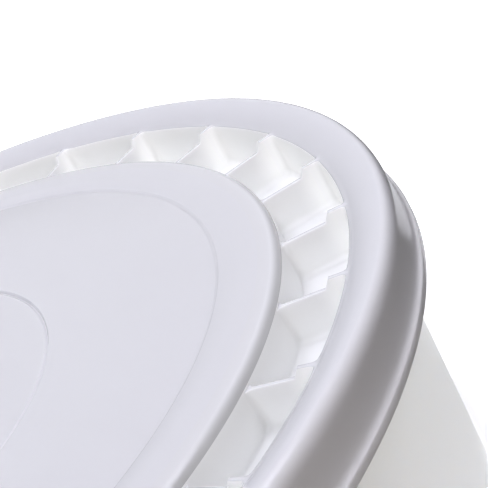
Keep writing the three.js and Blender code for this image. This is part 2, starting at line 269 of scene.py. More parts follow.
# painted light: a paler copy of the lid's plastic for the moat's faces, so the pockets look lit
MOAT_LIT_PLASTIC = moulded("moat_lit_plastic", (0.84, 0.845, 0.83), 0.36, grain=0.04, **SOFT)


def where_on_object(material):
    """The socket with a point's place on the object, in a moulded material."""
    return next(node for node in material.node_tree.nodes if node.type == "TEX_COORD").outputs["Object"]


def by_radius(material, inner, outer, high):
    """A number that goes from 0 to high between two distances from the lid's axis."""
    nodes, links = tree(material)
    flat = nodes.new("ShaderNodeVectorMath")
    flat.operation = "MULTIPLY"
    flat.inputs[1].default_value = (1, 1, 0)
    length = nodes.new("ShaderNodeVectorMath")
    length.operation = "LENGTH"
    fade = nodes.new("ShaderNodeMapRange")
    fade.interpolation_type = "SMOOTHSTEP"
    fade.inputs["From Min"].default_value = inner * MM
    fade.inputs["From Max"].default_value = outer * MM
    fade.inputs["To Max"].default_value = high
    links.new(where_on_object(material), flat.inputs[0])
    links.new(flat.outputs["Vector"], length.inputs[0])
    links.new(length.outputs["Value"], fade.inputs["Value"])
    return fade.outputs["Result"]


def paint_moat_glow(material, inner, outer, strength):
    """Painted light: an emission glow, strongest at the moat's thin outer wall and fading inwards from it, in
    place of light coming through the wall.
    """
    nodes, links = tree(material)
    shader = nodes["Principled BSDF"]
    shader.inputs["Emission Color"].default_value = (1, 1, 0.98, 1)
    links.new(by_radius(material, inner, outer, strength), shader.inputs["Emission Strength"])


def paint_edge_shade(material, inner, outer, color):
    """Painted shade: a darker colour between two distances from the lid's axis, where the disk's rounded edge
    turns away from the light.
    """
    nodes, links = tree(material)
    shader = nodes["Principled BSDF"]
    tint = shader.inputs["Base Color"].links[0].from_socket
    painted_shade = nodes.new("ShaderNodeMix")
    painted_shade.data_type = "RGBA"
    painted_shade.inputs["B"].default_value = (*color, 1)
    links.new(tint, painted_shade.inputs["A"])
    links.new(by_radius(material, inner, outer, 1), painted_shade.inputs["Factor"])
    links.new(painted_shade.outputs["Result"], shader.inputs["Base Color"])


# painted light: the moat's outer wall glows from emission, as if lit through
paint_moat_glow(MOAT_LIT_PLASTIC, LID_RADIUS - 22, LID_RADIUS - 13.5, strength=0.2)
# painted shade: a dark ring on the disk's rounded edge
paint_edge_shade(EDGE_SHADE_PLASTIC, LID_RADIUS - 31.9, LID_RADIUS - 30.2, color=(0.5, 0.5, 0.5))

# ------------------------------------------------------------------ lid

DISK_RADIUS = LID_RADIUS - 30       # the upright wall between disk and moat
MOAT_RADIUS = LID_RADIUS - 13.1     # the upright wall between moat and rim
MOAT_FLOOR = -12                    # heights on the lid are from the rim's inner edge
LID_FOOT = -12.4
RIB_COUNT = 30
RIB_HALF = 0.6                      # half of a rib's thickness
RIB_TOP = -2.2
RIB_STEP = (154.3, 155.9)           # radii between which a rib's top steps up to the rim
RIB_FILLET = 2.2                    # between a rib and the floor
OUTER_FILLET = 1.5                  # between the moat's outer wall and the floor
INNER_FILLET = 0.5                  # between the disk's wall and the floor
EDGE = 0.28                         # rounding of a rib's top edges
LIP = 0.9                           # rounding of the rim's inner edge
LID_HOLE = 6.6                      # for the grommet
CORNER_OUT = 1.3                    # upright fillets in a pocket's corners
CORNER_IN = 1.6
HALF_PITCH = math.pi / RIB_COUNT
SIDE_STEPS = 12
CORNER_STEPS = 4
RIB_STEPS = 9


def rib_top(along):
    """Height of a rib's top at a distance from the lid's axis."""
    low, high = RIB_STEP
    share = min(max((along - low) / (high - low), 0), 1)
    return RIB_TOP * (1 - share)


def pocket_ring(rib_in, out_in, disk_in, height):
    """One level of a pocket's wall, as a closed list of points round a sector whose middle is +X.

    rib_in, out_in and disk_in say how far the wall has moved into the pocket on each side;
    height gives z from the side it is on and the distance along the rib."""
    offset = RIB_HALF + rib_in
    outer, inner = MOAT_RADIUS - out_in, DISK_RADIUS + disk_in
    along_rib = Vector((math.cos(HALF_PITCH), math.sin(HALF_PITCH)))
    into = Vector((math.sin(HALF_PITCH), -math.cos(HALF_PITCH)))

    def corner(radius, size, outward):
        middle_radius = radius - size if outward else radius + size
        shift = offset + size
        middle = along_rib * math.sqrt(middle_radius ** 2 - shift ** 2) + into * shift
        start = middle.normalized() * (1 if outward else -1)
        turned = []
        for i in range(CORNER_STEPS + 1):
            angle = i / CORNER_STEPS * math.pi / 2
            direction = (start * math.cos(angle) - into * math.sin(angle)).normalized()
            turned.append(middle + direction * size)
        return turned

    outer_corner = corner(outer, CORNER_OUT, True)
    inner_corner = corner(inner, CORNER_IN, False)
    start, end = outer_corner[-1].dot(along_rib), inner_corner[-1].dot(along_rib)
    stops = [RIB_STEP[1], RIB_STEP[0]]
    stops += [RIB_STEP[0] + (end - RIB_STEP[0]) * i / (RIB_STEPS - 2) for i in range(1, RIB_STEPS - 2)]
    half = []
    tangent = math.atan2(outer_corner[0].y, outer_corner[0].x)
    for i in range(SIDE_STEPS // 2):
        angle = tangent * i / (SIDE_STEPS // 2)
        half.append((Vector((math.cos(angle), math.sin(angle))) * outer, "out"))
    half += [(point, "out_corner") for point in outer_corner]
    half += [(along_rib * stop + into * offset, "rib") for stop in stops]
    half += [(point, "in_corner") for point in inner_corner[::-1]]
    tangent = math.atan2(inner_corner[0].y, inner_corner[0].x)
    for i in range(1, SIDE_STEPS // 2 + 1):
        angle = tangent * (1 - i / (SIDE_STEPS // 2))
        half.append((Vector((math.cos(angle), math.sin(angle))) * inner, "in"))
    made = [(point.x, point.y, height(side, point.dot(along_rib))) for point, side in half]
    mirrored = [(x, -y, z) for x, y, z in made[1:-1]]
    return made + mirrored[::-1]


def pocket_rings():
    """All levels of a pocket, from its top edge to the flat of its floor."""
    draft = 0.015

    def lip(share):
        """Rounding of the top edge; the rim's lip is larger than the ribs' edges."""
        back, down = 1 - math.sin(share), 1 - math.cos(share)

        def height(side, along):
            if side == "out":
                return -LIP * down
            if side == "out_corner":
                return -(LIP + EDGE) / 2 * down
            return (rib_top(along) if side == "rib" else RIB_TOP) - EDGE * down
        return pocket_ring(-EDGE * back, -LIP * back, 0, height)

    rings = [lip(share * math.pi / 2) for share in (0, 0.34, 0.67, 1)]

    def level(z):
        def moved_in(fillet):
            rise = MOAT_FLOOR + fillet - z
            curve = fillet - math.sqrt(max(fillet ** 2 - rise ** 2, 0)) if rise > 0 else 0
            return curve - draft * z
        return pocket_ring(moved_in(RIB_FILLET), moved_in(OUTER_FILLET), moved_in(INNER_FILLET),
                           lambda side, along: z)

    rings += [level(z) for z in (-3.2, -5.5)]
    steps = 9
    for i in range(steps + 1):
        rings.append(level(MOAT_FLOOR + RIB_FILLET * (1 - math.sin(math.pi / 2 * i / steps))))
    flat = 0.7
    base = -draft * MOAT_FLOOR
    rings.append(pocket_ring(RIB_FILLET + flat + base, OUTER_FILLET + flat + base, INNER_FILLET + flat + base,
                             lambda side, along: MOAT_FLOOR))
    return rings


def rim_section():
    """Outside of the rim and skirt, from the moat's lip over the crown to the foot."""
    lip = MOAT_RADIUS + LIP
    crown = 2.9
    fillet = 2.4
    fall = 4.0                      # the rounding reaches further down the skirt than into the rim
    wall = LID_RADIUS - 1.7
    bead = 0.4
    bead_top = -10.05
    rise = ((0, 0), (0.9, 0.6), (2.2, 1.3), (3.8, 1.95), (5.6, 2.5), (7, 2.8))
    points = [(lip + out, z) for out, z in rise]
    rounding = arc((wall - fillet, crown - fillet), fillet, 94, 0, 16)
    points += [(r, crown - (crown - z) * fall / fillet) for r, z in rounding]
    flare = ((0.04, -3), (0.14, -5), (0.28, -7), (0.42, -8.6), (0.56, -9.3), (0.78, -9.75), (1.0, -9.95))
    points += [(wall + out, z) for out, z in flare]
    edge = LID_RADIUS - 0.12 - bead
    points += arc((edge, bead_top - bead), bead, 80, 0, 5)
    points += arc((edge, LID_FOOT + bead), bead, 0, -90, 4)
    return points


def disk_section():
    """Top of the disk, from the grommet's hole to the wall above the ribs, with its two shallow steps."""
    first, second = 82.6, 127.2
    shoulder = 2.2

    def step(radius, half, low, floor, high):
        """A step up, with a fine groove along it."""
        return [(radius - half, low), (radius - 0.15, floor), (radius + 0.15, floor), (radius + half, high)]

    points = [(LID_HOLE, -0.2), (20, -0.2), (50, -0.2), *step(first, 0.6, -0.2, -0.6, 0.1), (first + 1, 0.15),
              (105, 0.2), *step(second, 0.9, 0.25, 0.1, 0.5), (second + 1, 0.55), (134, 0.6), (138, 0.58)]
    points += arc((DISK_RADIUS - shoulder, 0.5 - shoulder), shoulder, 90, 0, 8)
    points += [(DISK_RADIUS, RIB_TOP)]
    return points


def underside_section():
    """Inside of the skirt, rim, moat and disk, from the foot back to the grommet's hole."""
    sheet = 2.0
    points = [(170.4, LID_FOOT), (168.95, -11.4), (168.8, -10.4), (169.0, -9.4), (169.3, -8.4), (169.2, -1.2),
              (168.6, -0.2), (167.4, 0.05), (163, -1.2), (162.0, -2.2)]
    points += [(MOAT_RADIUS + 1.5, MOAT_FLOOR - 1.2), (MOAT_RADIUS + 1.0, MOAT_FLOOR - 1.8),
               (MOAT_RADIUS + 0.2, MOAT_FLOOR - sheet), (DISK_RADIUS - 0.5, MOAT_FLOOR - sheet),
               (DISK_RADIUS - 1.3, MOAT_FLOOR - 1.7), (DISK_RADIUS - 1.6, MOAT_FLOOR - 1),
               (DISK_RADIUS - 2.1, -2.6), (DISK_RADIUS - 2.9, -1.7), (DISK_RADIUS - 4, -1.5), (120, -1.6),
               (90, -2.0), (50, -2.2), (LID_HOLE, -2.2)]
    return points


def column_angles(radius, offset, tangent):
    """Angles of a revolved row's points that meet a pocket's outline at a radius, for the whole circle."""
    corner = math.asin(offset / radius)
    near = HALF_PITCH - tangent
    angles = []
    for i in range(RIB_COUNT):
        start = 2 * HALF_PITCH * i
        angles += [start, start + corner]
        for step in range(SIDE_STEPS + 1):
            angles.append(start + near + 2 * tangent * step / SIDE_STEPS)
        angles.append(start + 2 * HALF_PITCH - corner)
    return angles


def build_lid():
    """The whole lid: revolved rim, disk and underside, with a pocket and two half ribs for each rib."""
    shell = Shell()
    rings = pocket_rings()
    top = rings[0]
    half = SIDE_STEPS // 2
    out_tangent = math.atan2(top[half][1], top[half][0])
    in_first = half + CORNER_STEPS + 1 + RIB_STEPS - 1 + CORNER_STEPS
    in_tangent = math.atan2(top[in_first][1], top[in_first][0])
    outer_angles = column_angles(MOAT_RADIUS + LIP, RIB_HALF - EDGE, out_tangent)
    inner_angles = column_angles(DISK_RADIUS, RIB_HALF - EDGE, in_tangent)

    def revolve(section, angles):
        return shell.rows([[polar(r, angle, z + LID_Z) for angle in angles] for r, z in section], closed=True)

    rim = revolve(rim_section(), outer_angles)
    disk = revolve(disk_section(), inner_angles)
    under = revolve(underside_section(), outer_angles)
    shell.join(rim[-1], under[0], closed=True)
    shell.join(under[-1], disk[0], closed=True)
    for i in range(RIB_COUNT):
        turn = Matrix.Rotation(HALF_PITCH * (2 * i + 1), 3, "Z")

        def move(p, side=1):
            return tuple(turn @ Vector((p[0], p[1] * side, p[2])) + Vector((0, 0, LID_Z)))

        made = shell.rows([[move(p) for p in ring] for ring in rings], closed=True)
        shell.faces.append(tuple(made[-1]))
        for side in (1, -1):
            rib_strip(shell, top, half, in_first, lambda p: move(p, side))
    return shell


def rib_strip(shell, top, half, in_first, move):
    """Half of a rib's top, and the small flats between it and the pocket's rounded corners."""
    along_rib = Vector((math.cos(HALF_PITCH), math.sin(HALF_PITCH)))
    into = Vector((math.sin(HALF_PITCH), -math.cos(HALF_PITCH)))
    offset = RIB_HALF - EDGE
    edge_points = [Vector(p) for p in top[half + CORNER_STEPS:in_first - CORNER_STEPS + 1]]
    ends = []
    for radius, z in ((MOAT_RADIUS + LIP, 0), (DISK_RADIUS, RIB_TOP)):
        spot = along_rib * math.sqrt(radius ** 2 - offset ** 2) + into * offset
        ends.append(Vector((spot.x, spot.y, z)))
    edge = [ends[0], *edge_points, ends[1]]
    middle = [along_rib.to_3d() * p.to_2d().dot(along_rib) + Vector((0, 0, p.z)) for p in edge]
    middle[0] = along_rib.to_3d() * (MOAT_RADIUS + LIP)
    middle[-1] = along_rib.to_3d() * DISK_RADIUS + Vector((0, 0, RIB_TOP))
    shell.rows([[move(p) for p in edge], [move(p) for p in middle]])
    outer_arc = top[half:half + CORNER_STEPS + 1]
    inner_arc = top[in_first - CORNER_STEPS:in_first + 1]
    for tip, rim in ((ends[0], outer_arc), (ends[1], inner_arc)):
        made = shell.row([move(tip)] + [move(p) for p in rim])
        shell.fan(made[0], made[1:])


lid_piece = place("lid_moulding", build_lid().mesh("lid_moulding"), "lid", LID_PLASTIC, "lid")
MOAT_LIT_FACES, EDGE_SHADE_FACES = 1, 2       # places of the materials added below
lid_piece.data.materials.append(MOAT_LIT_PLASTIC)
lid_piece.data.materials.append(EDGE_SHADE_PLASTIC)
# painted light: the moat's faces, all but the rib tops, take the paler copy of the plastic
for face in lid_piece.data.polygons:
    spot = face.center / MM
    across, height = math.hypot(spot.x, spot.y), spot.z - LID_Z
    in_moat = DISK_RADIUS - 0.01 < across < MOAT_RADIUS + 0.3 and MOAT_FLOOR - 0.5 < height < -0.3
    on_rib = face.normal.z > 0.8 and height > RIB_TOP - 0.2
    if in_moat and not on_rib:
        face.material_index = MOAT_LIT_FACES
    # painted shade: faces on the disk's rounded edge take the darkened copy of the plastic
    if DISK_RADIUS - 5 < across < DISK_RADIUS and RIB_TOP < height and face.normal.z > 0.05:
        face.material_index = EDGE_SHADE_FACES

# ------------------------------------------------------------------ solids of the other pieces


def outline(corners, closed=False, steps=4):
    """A section or a flat outline whose corners may be rounded: (x, y) or (x, y, size of the rounding)."""
    made = []
    count = len(corners)
    for i, corner in enumerate(corners):
        here = Vector(corner[:2])
        size = corner[2] if len(corner) > 2 else 0
        if size == 0 or (not closed and i in (0, count - 1)):
            made.append(tuple(here))
            continue
        before = Vector(corners[i - 1][:2]) - here
        after = Vector(corners[(i + 1) % count][:2]) - here
        start = here + before.normalized() * min(size, before.length * 0.48)
        end = here + after.normalized() * min(size, after.length * 0.48)
        for step in range(steps + 1):
            t = step / steps
            made.append(tuple(start * (1 - t) ** 2 + here * 2 * t * (1 - t) + end * t ** 2))
    return made


def lathe(name, section, steps=96, closed=False, turn=Matrix()):
    """A solid of revolution about Z; an open section starts and ends on the axis."""
    shell = Shell()
    angles = [2 * math.pi * i / steps for i in range(steps)]
    rows = shell.rows([[polar(r, angle, z) for angle in angles] for r, z in section], closed=True)
    if closed:
        shell.join(rows[-1], rows[0], closed=True)
    return shell.mesh(name, turn)


def inset(points, distance):
    """Moves the sides of a convex outline inwards; the outline runs anticlockwise."""
    made = []
    count = len(points)
    for i in range(count):
        here = Vector(points[i])
        before = (here - Vector(points[i - 1])).normalized()
        after = (Vector(points[(i + 1) % count]) - here).normalized()
        normals = Vector((-before.y, before.x)), Vector((-after.y, after.x))
        middle = (normals[0] + normals[1]).normalized()
        made.append(tuple(here + middle * distance / max(middle.dot(normals[0]), 0.3)))
    return made


def prism(name, points, low, high, edge_low=0.0, edge_high=0.0, turn=Matrix()):
    """An extruded outline whose end edges are rounded."""
    steps = 4
    levels = []
    for i in range(steps + 1):
        t = math.pi / 2 * i / steps
        levels.append((edge_low * (1 - math.sin(t)), low + edge_low * (1 - math.cos(t))))
    for i in range(steps + 1):
        t = math.pi / 2 * i / steps
        levels.append((edge_high * (1 - math.cos(t)), high - edge_high * (1 - math.sin(t))))
    shell = Shell()
    rows = shell.rows([[(x, y, z) for x, y in inset(points, step)] for step, z in levels], closed=True)
    shell.faces.append(tuple(rows[0]))
    shell.faces.append(tuple(rows[-1]))
    return shell.mesh(name, turn)


def sweep(name, points, radius, across, turn):
    """A round wire through points in a plane whose normal is across."""
    sides, chamfer = 20, 0.4
    shell = Shell()
    rows = []
    last = len(points) - 1
    for i, point in enumerate(points):
        tangent = (points[min(i + 1, last)] - points[max(i - 1, 0)]).normalized()
        side = tangent.cross(across)
        sizes = [(radius, 0)]
        if i == 0:
            sizes = [(radius - chamfer, -chamfer), (radius, 0)]
        if i == last:
            sizes = [(radius, 0), (radius - chamfer, chamfer)]
        for size, shift in sizes:
            ring = []
            for k in range(sides):
                angle = 2 * math.pi * k / sides
                out = side * math.cos(angle) + across * math.sin(angle)
                ring.append(point + tangent * shift + out * size)
            rows.append(ring)
    made = shell.rows(rows, closed=True)
    shell.faces.append(tuple(made[0]))
    shell.faces.append(tuple(made[-1]))
    return shell.mesh(name, turn)


def combine(name, base, *steps):
    """Joins and cuts closed meshes, in the order given."""
    body = add_object("temporary", base)
    made = [body]
    for operation, data in steps:
        made.append(add_object("temporary", data))
        modifier = body.modifiers.new("step", "BOOLEAN")
        modifier.solver = "MANIFOLD"
        modifier.operation = operation
        modifier.object = made[-1]
    graph = bpy.context.evaluated_depsgraph_get()
    result = bpy.data.meshes.new_from_object(body.evaluated_get(graph))
    result.name = name
    for piece in made:
        bpy.data.objects.remove(piece)
    return result


JOIN, CUT = "UNION", "DIFFERENCE"

# ------------------------------------------------------------------ more materials

BUCKET_SOFT = {"Subsurface_Weight": 1.0, "Subsurface_Radius": (1.0, 0.96, 0.9), "Subsurface_Scale": 0.005}
WALL_PLASTIC = moulded("wall_plastic", (0.93, 0.93, 0.92), 0.38, grain=0.12, grain_scale=700, **BUCKET_SOFT)
TAP_PLASTIC = moulded("tap_plastic", (0.86, 0.85, 0.82), 0.35, grain=0.05, grain_scale=1500)
LEVER_PLASTIC = moulded("lever_plastic", (0.55, 0.015, 0.012), 0.3, grain=0.04, grain_scale=1500)
GRIP_PLASTIC = moulded("grip_plastic", (0.85, 0.85, 0.83), 0.45, grain=0.2, grain_scale=1100)
GREY_RUBBER = moulded("grey_rubber", (0.07, 0.07, 0.075), 0.7, grain=0.25, grain_scale=2500)
SEAL_RUBBER = moulded("seal_rubber", (0.72, 0.7, 0.64), 0.6, grain=0.2, grain_scale=2000)
CLEAR = {"Transmission_Weight": 0.92, "IOR": 1.5}
CLEAR_PLASTIC = moulded("clear_plastic", (0.87, 0.93, 0.95), 0.06, grain=0.03, grain_scale=400, **CLEAR)


def drawn_steel():
    """Bright wire with fine scratches drawn along it."""
    material = moulded("steel", (0.62, 0.63, 0.65), 0.28, grain=0.1, grain_scale=1200, Metallic=1.0)
    nodes, links = tree(material)
    stretch = nodes.new("ShaderNodeMapping")
    stretch.inputs["Scale"].default_value = (0.06, 1, 1)
    for noise in [node for node in nodes if node.type == "TEX_NOISE"]:
        links.new(stretch.outputs["Vector"], noise.inputs["Vector"])
    links.new(where_on_object(material), stretch.inputs["Vector"])
    return material


STEEL = drawn_steel()

# ------------------------------------------------------------------ bucket

RIM_TOP = LID_Z - 4.5                                # top of the bucket's rim
BASE_RADIUS = 148
TOP_RADIUS = 164.8
WALL = 2.2
COLLAR_LOW, COLLAR_HIGH = 298, 322
COLLAR_RADIUS = 167
BAIL_Z = 309
GUSSETS = 36
TAP_Z = (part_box("tap_nut")[0].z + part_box("tap_nut")[1].z) / 2 / MM
TAP_FACE, TAP_INNER = 152.5, 144                     # distances of the tap boss's faces from the axis
FACING = Matrix.Translation((0, 0, TAP_Z)) @ Matrix.Rotation(math.pi / 2, 4, "X")   # +Z out of the tap's side


def wall_radius(z):
    return BASE_RADIUS + (TOP_RADIUS - BASE_RADIUS) * z / RIM_TOP


def shell_section():
    """Floor, foot ring, tapered wall, collar and rolled rim."""
    inside = COLLAR_RADIUS - 2
    rim = RIM_TOP
    wall_rows = [(wall_radius(z), z) for z in (60, 120, 180, 240, 290)]
    inner_rows = [(wall_radius(z) - WALL, z) for z in (330, 270, 210, 150, 90, 40)]
    return outline([
        (0, 0), (22, 0, 1.5), (25, 2.5, 1.5), (136, 2.5, 1.5), (139, 0, 1), (145, 0, 2), (147.9, 3.5, 2),
        (wall_radius(9), 9, 3), *wall_rows, (wall_radius(318), 318, 1.5), (inside, 317, 1.2),
        (inside, COLLAR_LOW, 0.6), (COLLAR_RADIUS, COLLAR_LOW, 0.6), (COLLAR_RADIUS, COLLAR_HIGH - 1.6, 1.8),
        (wall_radius(COLLAR_HIGH), COLLAR_HIGH, 1.5), (wall_radius(rim - 6.5), rim - 6.5, 1.5),
        (168.2, rim - 5.6, 1), (168.2, rim - 1.2, 1.2), (167, rim, 1), (164, rim, 1.2),
        (TOP_RADIUS - WALL, rim - 1.2, 1), *inner_rows, (wall_radius(12) - WALL, 12, 6),
        (wall_radius(5) - WALL - 6, 5.1, 6), (30, 5.1), (0, 5.1),
    ])


def gussets():
    """Thin plates inside the collar, which is open at its foot."""
    shell = Shell()
    for i in range(GUSSETS):
        turn = Matrix.Rotation(2 * math.pi * (i + 0.5) / GUSSETS, 4, "Z")
        rows = []
        for z, near in ((COLLAR_LOW + 2, 160.5), (COLLAR_HIGH - 3.5, 161)):
            corners = ((near, -0.8), (COLLAR_RADIUS - 1, -0.8), (COLLAR_RADIUS - 1, 0.8), (near, 0.8))
            rows.append([turn @ Vector((x, y, z)) for x, y in corners])
        made = shell.rows(rows, closed=True)
        shell.faces.append(tuple(made[0]))
        shell.faces.append(tuple(made[-1]))
    return shell.mesh("gussets")


def ear(side):
    """Boss and socket for one end of the bail; the outline is (-z, y) before it is turned to face +X."""
    low, high = BAIL_Z - 15, BAIL_Z + 12
    turn = Matrix.Rotation(0 if side > 0 else math.pi, 4, "Z") @ Matrix.Rotation(math.pi / 2, 4, "Y")
    shape = outline([(-high, -10, 3), (-low - 4, -15, 3), (-low, -11, 3), (-low, 11, 3), (-low - 4, 15, 3),
                     (-high, 10, 3)], closed=True)
    root, face = wall_radius(BAIL_Z) - 1.2, 173.8
    pivot = turn @ Matrix.Translation((-BAIL_Z, 0, 0))
    boss = prism("boss", shape, root, face, edge_high=1.6, turn=turn)
    lip = lathe("lip", outline([(0, 170), (5.2, 170), (5.2, face, 0.4), (0, face)]), 40, turn=pivot)
    socket = lathe("socket", outline([
        (0, root + 3), (2.6, root + 3), (2.6, 173.2, 0.5), (3.2, 175), (0, 175)]), 40, turn=pivot)
    return boss, lip, socket


def build_bucket():
    """The revolved shell with its gussets, ears and tap boss joined on and the holes cut."""
    steps = [(JOIN, gussets())]
    cuts = []
    for side in (1, -1):
        boss, lip, socket = ear(side)
        steps += [(JOIN, boss), (JOIN, lip)]
        cuts.append((CUT, socket))
    tap_boss = lathe("tap_boss", outline([
        (0, TAP_INNER), (25, TAP_INNER, 1.2), (25, TAP_FACE, 1.6), (0, TAP_FACE)]), 72, turn=FACING)
    tap_hole = lathe("tap_hole", [(0, 140), (12.8, 140), (12.8, 156), (0, 156)], 72, turn=FACING)
    steps += [(JOIN, tap_boss), *cuts, (CUT, tap_hole)]
    return combine("bucket_shell", lathe("shell", shell_section(), 180), *steps)


place("bucket_shell", build_bucket(), "bucket", WALL_PLASTIC, "bucket_body", angle=32)

# ------------------------------------------------------------------ seal and grommet


def build_gasket():
    """The soft ring between the bucket's rim and the lid's."""
    low, high = RIM_TOP + 0.3, LID_Z - 1.6
    section = outline([(163, low, 0.5), (168, low, 0.5), (168.3, low + 1, 0.4), (167.4, high, 0.6),
                       (163.4, high, 0.6), (162.7, low + 1, 0.4)], closed=True)
    return lathe("seal_ring", section, 180, closed=True)


place("seal_ring", build_gasket(), "lid", SEAL_RUBBER, "lid_gasket", angle=60)


def build_grommet():
    """A rubber ring with a flange on each side of the lid's sheet."""
    hole, above, below = 6.3, 0.1, -2.5
    section = outline([(4.9, below - 2.4, 0.4), (8.4, below - 2.4, 0.8), (9.4, below, 0.3),
                       (hole, below, 0.2), (hole, above, 0.2), (9.8, above, 0.3), (9.4, above + 2, 0.9),
                       (5.4, above + 2.8, 0.8), (4.9, above + 2.2, 0.3)], closed=True)
    return lathe("grommet_ring", section, 72, closed=True, turn=Matrix.Translation((0, 0, LID_Z)))


place("grommet_ring", build_grommet(), "lid", GREY_RUBBER, "airlock_grommet", angle=50)

# ------------------------------------------------------------------ airlock

CUP_LOW, CUP_HIGH, CUP_RADIUS, AIRLOCK_BORE = 30, 72, 17.5, 3
ON_LID = Matrix.Translation((0, 0, LID_Z))


def build_airlock_body():
    """Stem, cup with a raised fill line, and the tube in the cup's middle."""
    cup = CUP_RADIUS
    fill = (CUP_LOW + CUP_HIGH) / 2 + 2

    def at(z):
        return cup - 1.5 + 0.9 * (z - CUP_LOW) / (CUP_HIGH - 1 - CUP_LOW)

    section = outline([
        (AIRLOCK_BORE, -24, 0.3), (4.1, -24, 0.5), (4.3, -10), (4.5, 4), (5.2, 22, 1.5), (8, 25, 1.5),
        (cup - 1.5, CUP_LOW, 2.5), (at(fill - 0.5), fill - 0.5), (at(fill) + 0.3, fill - 0.2, 0.1),
        (at(fill) + 0.3, fill + 0.2, 0.1), (at(fill + 0.5), fill + 0.5), (cup - 0.6, CUP_HIGH - 1.4, 0.3),
        (cup, CUP_HIGH - 0.9, 0.3), (cup, CUP_HIGH, 0.3), (cup - 1.4, CUP_HIGH, 0.4),
        (cup - 3, CUP_LOW + 2, 2.5), (7, CUP_LOW - 2, 2), (4.6, CUP_LOW + 1, 1.5), (4.3, CUP_HIGH - 18, 0.3),
        (AIRLOCK_BORE, CUP_HIGH - 18, 0.3),
    ], closed=True)
    return lathe("airlock_cup", section, 96, closed=True, turn=ON_LID)


def build_airlock_float():
    """The bell that stands over the tube."""
    low, top = CUP_LOW - 0.8, CUP_HIGH - 16
    section = outline([(0, top + 1), (5.6, top - 0.4, 0.8), (6.6, low, 0.2), (8.4, low, 0.4),
                       (7.9, low + 2.4, 0.4), (7.6, top, 1.2), (6.2, top + 1.4, 0.8), (1.4, top + 2.6, 0.6),
                       (0, top + 2.8)])
    return lathe("airlock_bell", section, 72, turn=ON_LID)


def build_airlock_cap():
    """The cap, with six vents in its top and flutes round its edge."""
    inside, high = CUP_RADIUS + 0.4, CUP_HIGH + 0.3
    section = outline([(0, high), (inside, high, 0.4), (inside, high - 7, 0.3), (inside + 1.3, high - 7, 0.4),
                       (inside + 1.3, high + 1, 0.8), (inside, high + 1.8, 0.5), (12.6, high + 1.8, 0.3),
                       (12.2, high + 1.3, 0.3), (5.4, high + 1.3, 0.3), (4, high + 1.8, 0.5),
                       (3, high + 3.2, 0.8), (0, high + 3.2)])

    def round_the_cap(angle, across):
        return ON_LID @ Matrix.Rotation(angle, 4, "Z") @ Matrix.Translation((across, 0, 0))

    vent = [(0, high - 1), (1.2, high - 1), (1.2, high + 3), (0, high + 3)]
    flute = [(0, high - 8), (0.55, high - 8), (0.55, high - 0.6), (0, high)]
    steps = [(CUT, lathe("vent", vent, 24, turn=round_the_cap(math.pi / 3 * i, 10))) for i in range(6)]
    for i in range(36):
        turn = round_the_cap(math.pi / 18 * (i + 0.5), inside + 1.55)
        steps.append((CUT, lathe("flute", flute, 12, turn=turn)))
    return combine("airlock_lid", lathe("cap", section, 144, turn=ON_LID), *steps)


place("airlock_cup", build_airlock_body(), "airlock", CLEAR_PLASTIC, "airlock_body",
      angle=50)
place("airlock_bell", build_airlock_float(), "airlock_float", CLEAR_PLASTIC, "airlock_float",
      angle=50)
place("airlock_lid", build_airlock_cap(), "airlock_cap", CLEAR_PLASTIC, "airlock_cap",
      angle=40)

# ------------------------------------------------------------------ bail

BAIL_HALF, BAIL_REACH, BAIL_WIRE = 178, 216, 2
BAIL_REST = math.radians(-37.5)
GRIP_LENGTH, GRIP_RADIUS = 92, 12.5
HUNG = Matrix.Translation((0, 0, BAIL_Z)) @ Matrix.Rotation(BAIL_REST, 4, "X")


def bezier(points, steps):
    """Points of a Bezier curve of any order, without its first."""
    made = []
    for i in range(1, steps + 1):
        level = [Vector(p) for p in points]
        while len(level) > 1:
            level = [a.lerp(b, i / steps) for a, b in zip(level, level[1:])]
        made.append(level[0])
    return made


def build_bail():
    """The wire: out of each ear, a bend, and a bow to the straight stretch inside the grip."""
    bend = 5.5
    straight = GRIP_LENGTH / 2 + 6
    knee = BAIL_HALF - bend
    half = [Vector((166.4, 0, 0)), Vector((169, 0, 0)), Vector((knee, 0, 0))]
    half += bezier([(knee, 0, 0), (BAIL_HALF, 0, 0), (BAIL_HALF, bend, 0)], 8)
    half += [Vector((BAIL_HALF, 16, 0)), Vector((BAIL_HALF, 26, 0))]
    bow = [(BAIL_HALF, 26, 0), (BAIL_HALF, 170, 0), (140, BAIL_REACH, 0), (straight, BAIL_REACH, 0)]
    half += bezier(bow, 36)
    half += [Vector((straight / 2, BAIL_REACH, 0)), Vector((0, BAIL_REACH, 0))]
    other = [Vector((-p.x, p.y, 0)) for p in half[-2::-1]]
    return sweep("bail_wire", half + other, BAIL_WIRE, Vector((0, 0, 1)), HUNG)


def build_grip():
    """The roller on the wire: a slight waist with grooves between two plain ends."""
    half = GRIP_LENGTH / 2
    bore = BAIL_WIRE + 0.5

    def waist(x):
        return GRIP_RADIUS - 1 + (x / half) ** 2

    corners = [(bore, -half, 0.6), (GRIP_RADIUS - 1.5, -half, 0.8), (GRIP_RADIUS, -half + 2, 1.2),
               (GRIP_RADIUS - 0.1, -half + 8, 1)]
    count, pitch = 13, 5.2
    for i in range(count):
        x = (i - (count - 1) / 2) * pitch
        corners += [(waist(x), x - 1.1, 0.4), (waist(x) - 0.6, x - 0.5, 0.4), (waist(x) - 0.6, x + 0.5, 0.4),
                    (waist(x), x + 1.1, 0.4)]
    corners += [(GRIP_RADIUS - 0.1, half - 8, 1), (GRIP_RADIUS, half - 2, 1.2),
                (GRIP_RADIUS - 1.5, half, 0.8), (bore, half, 0.6)]
    turn = HUNG @ Matrix.Translation((0, BAIL_REACH, 0)) @ Matrix.Rotation(math.pi / 2, 4, "Y")
    return lathe("grip_roller", outline(corners, closed=True, steps=3), 72, closed=True, turn=turn)


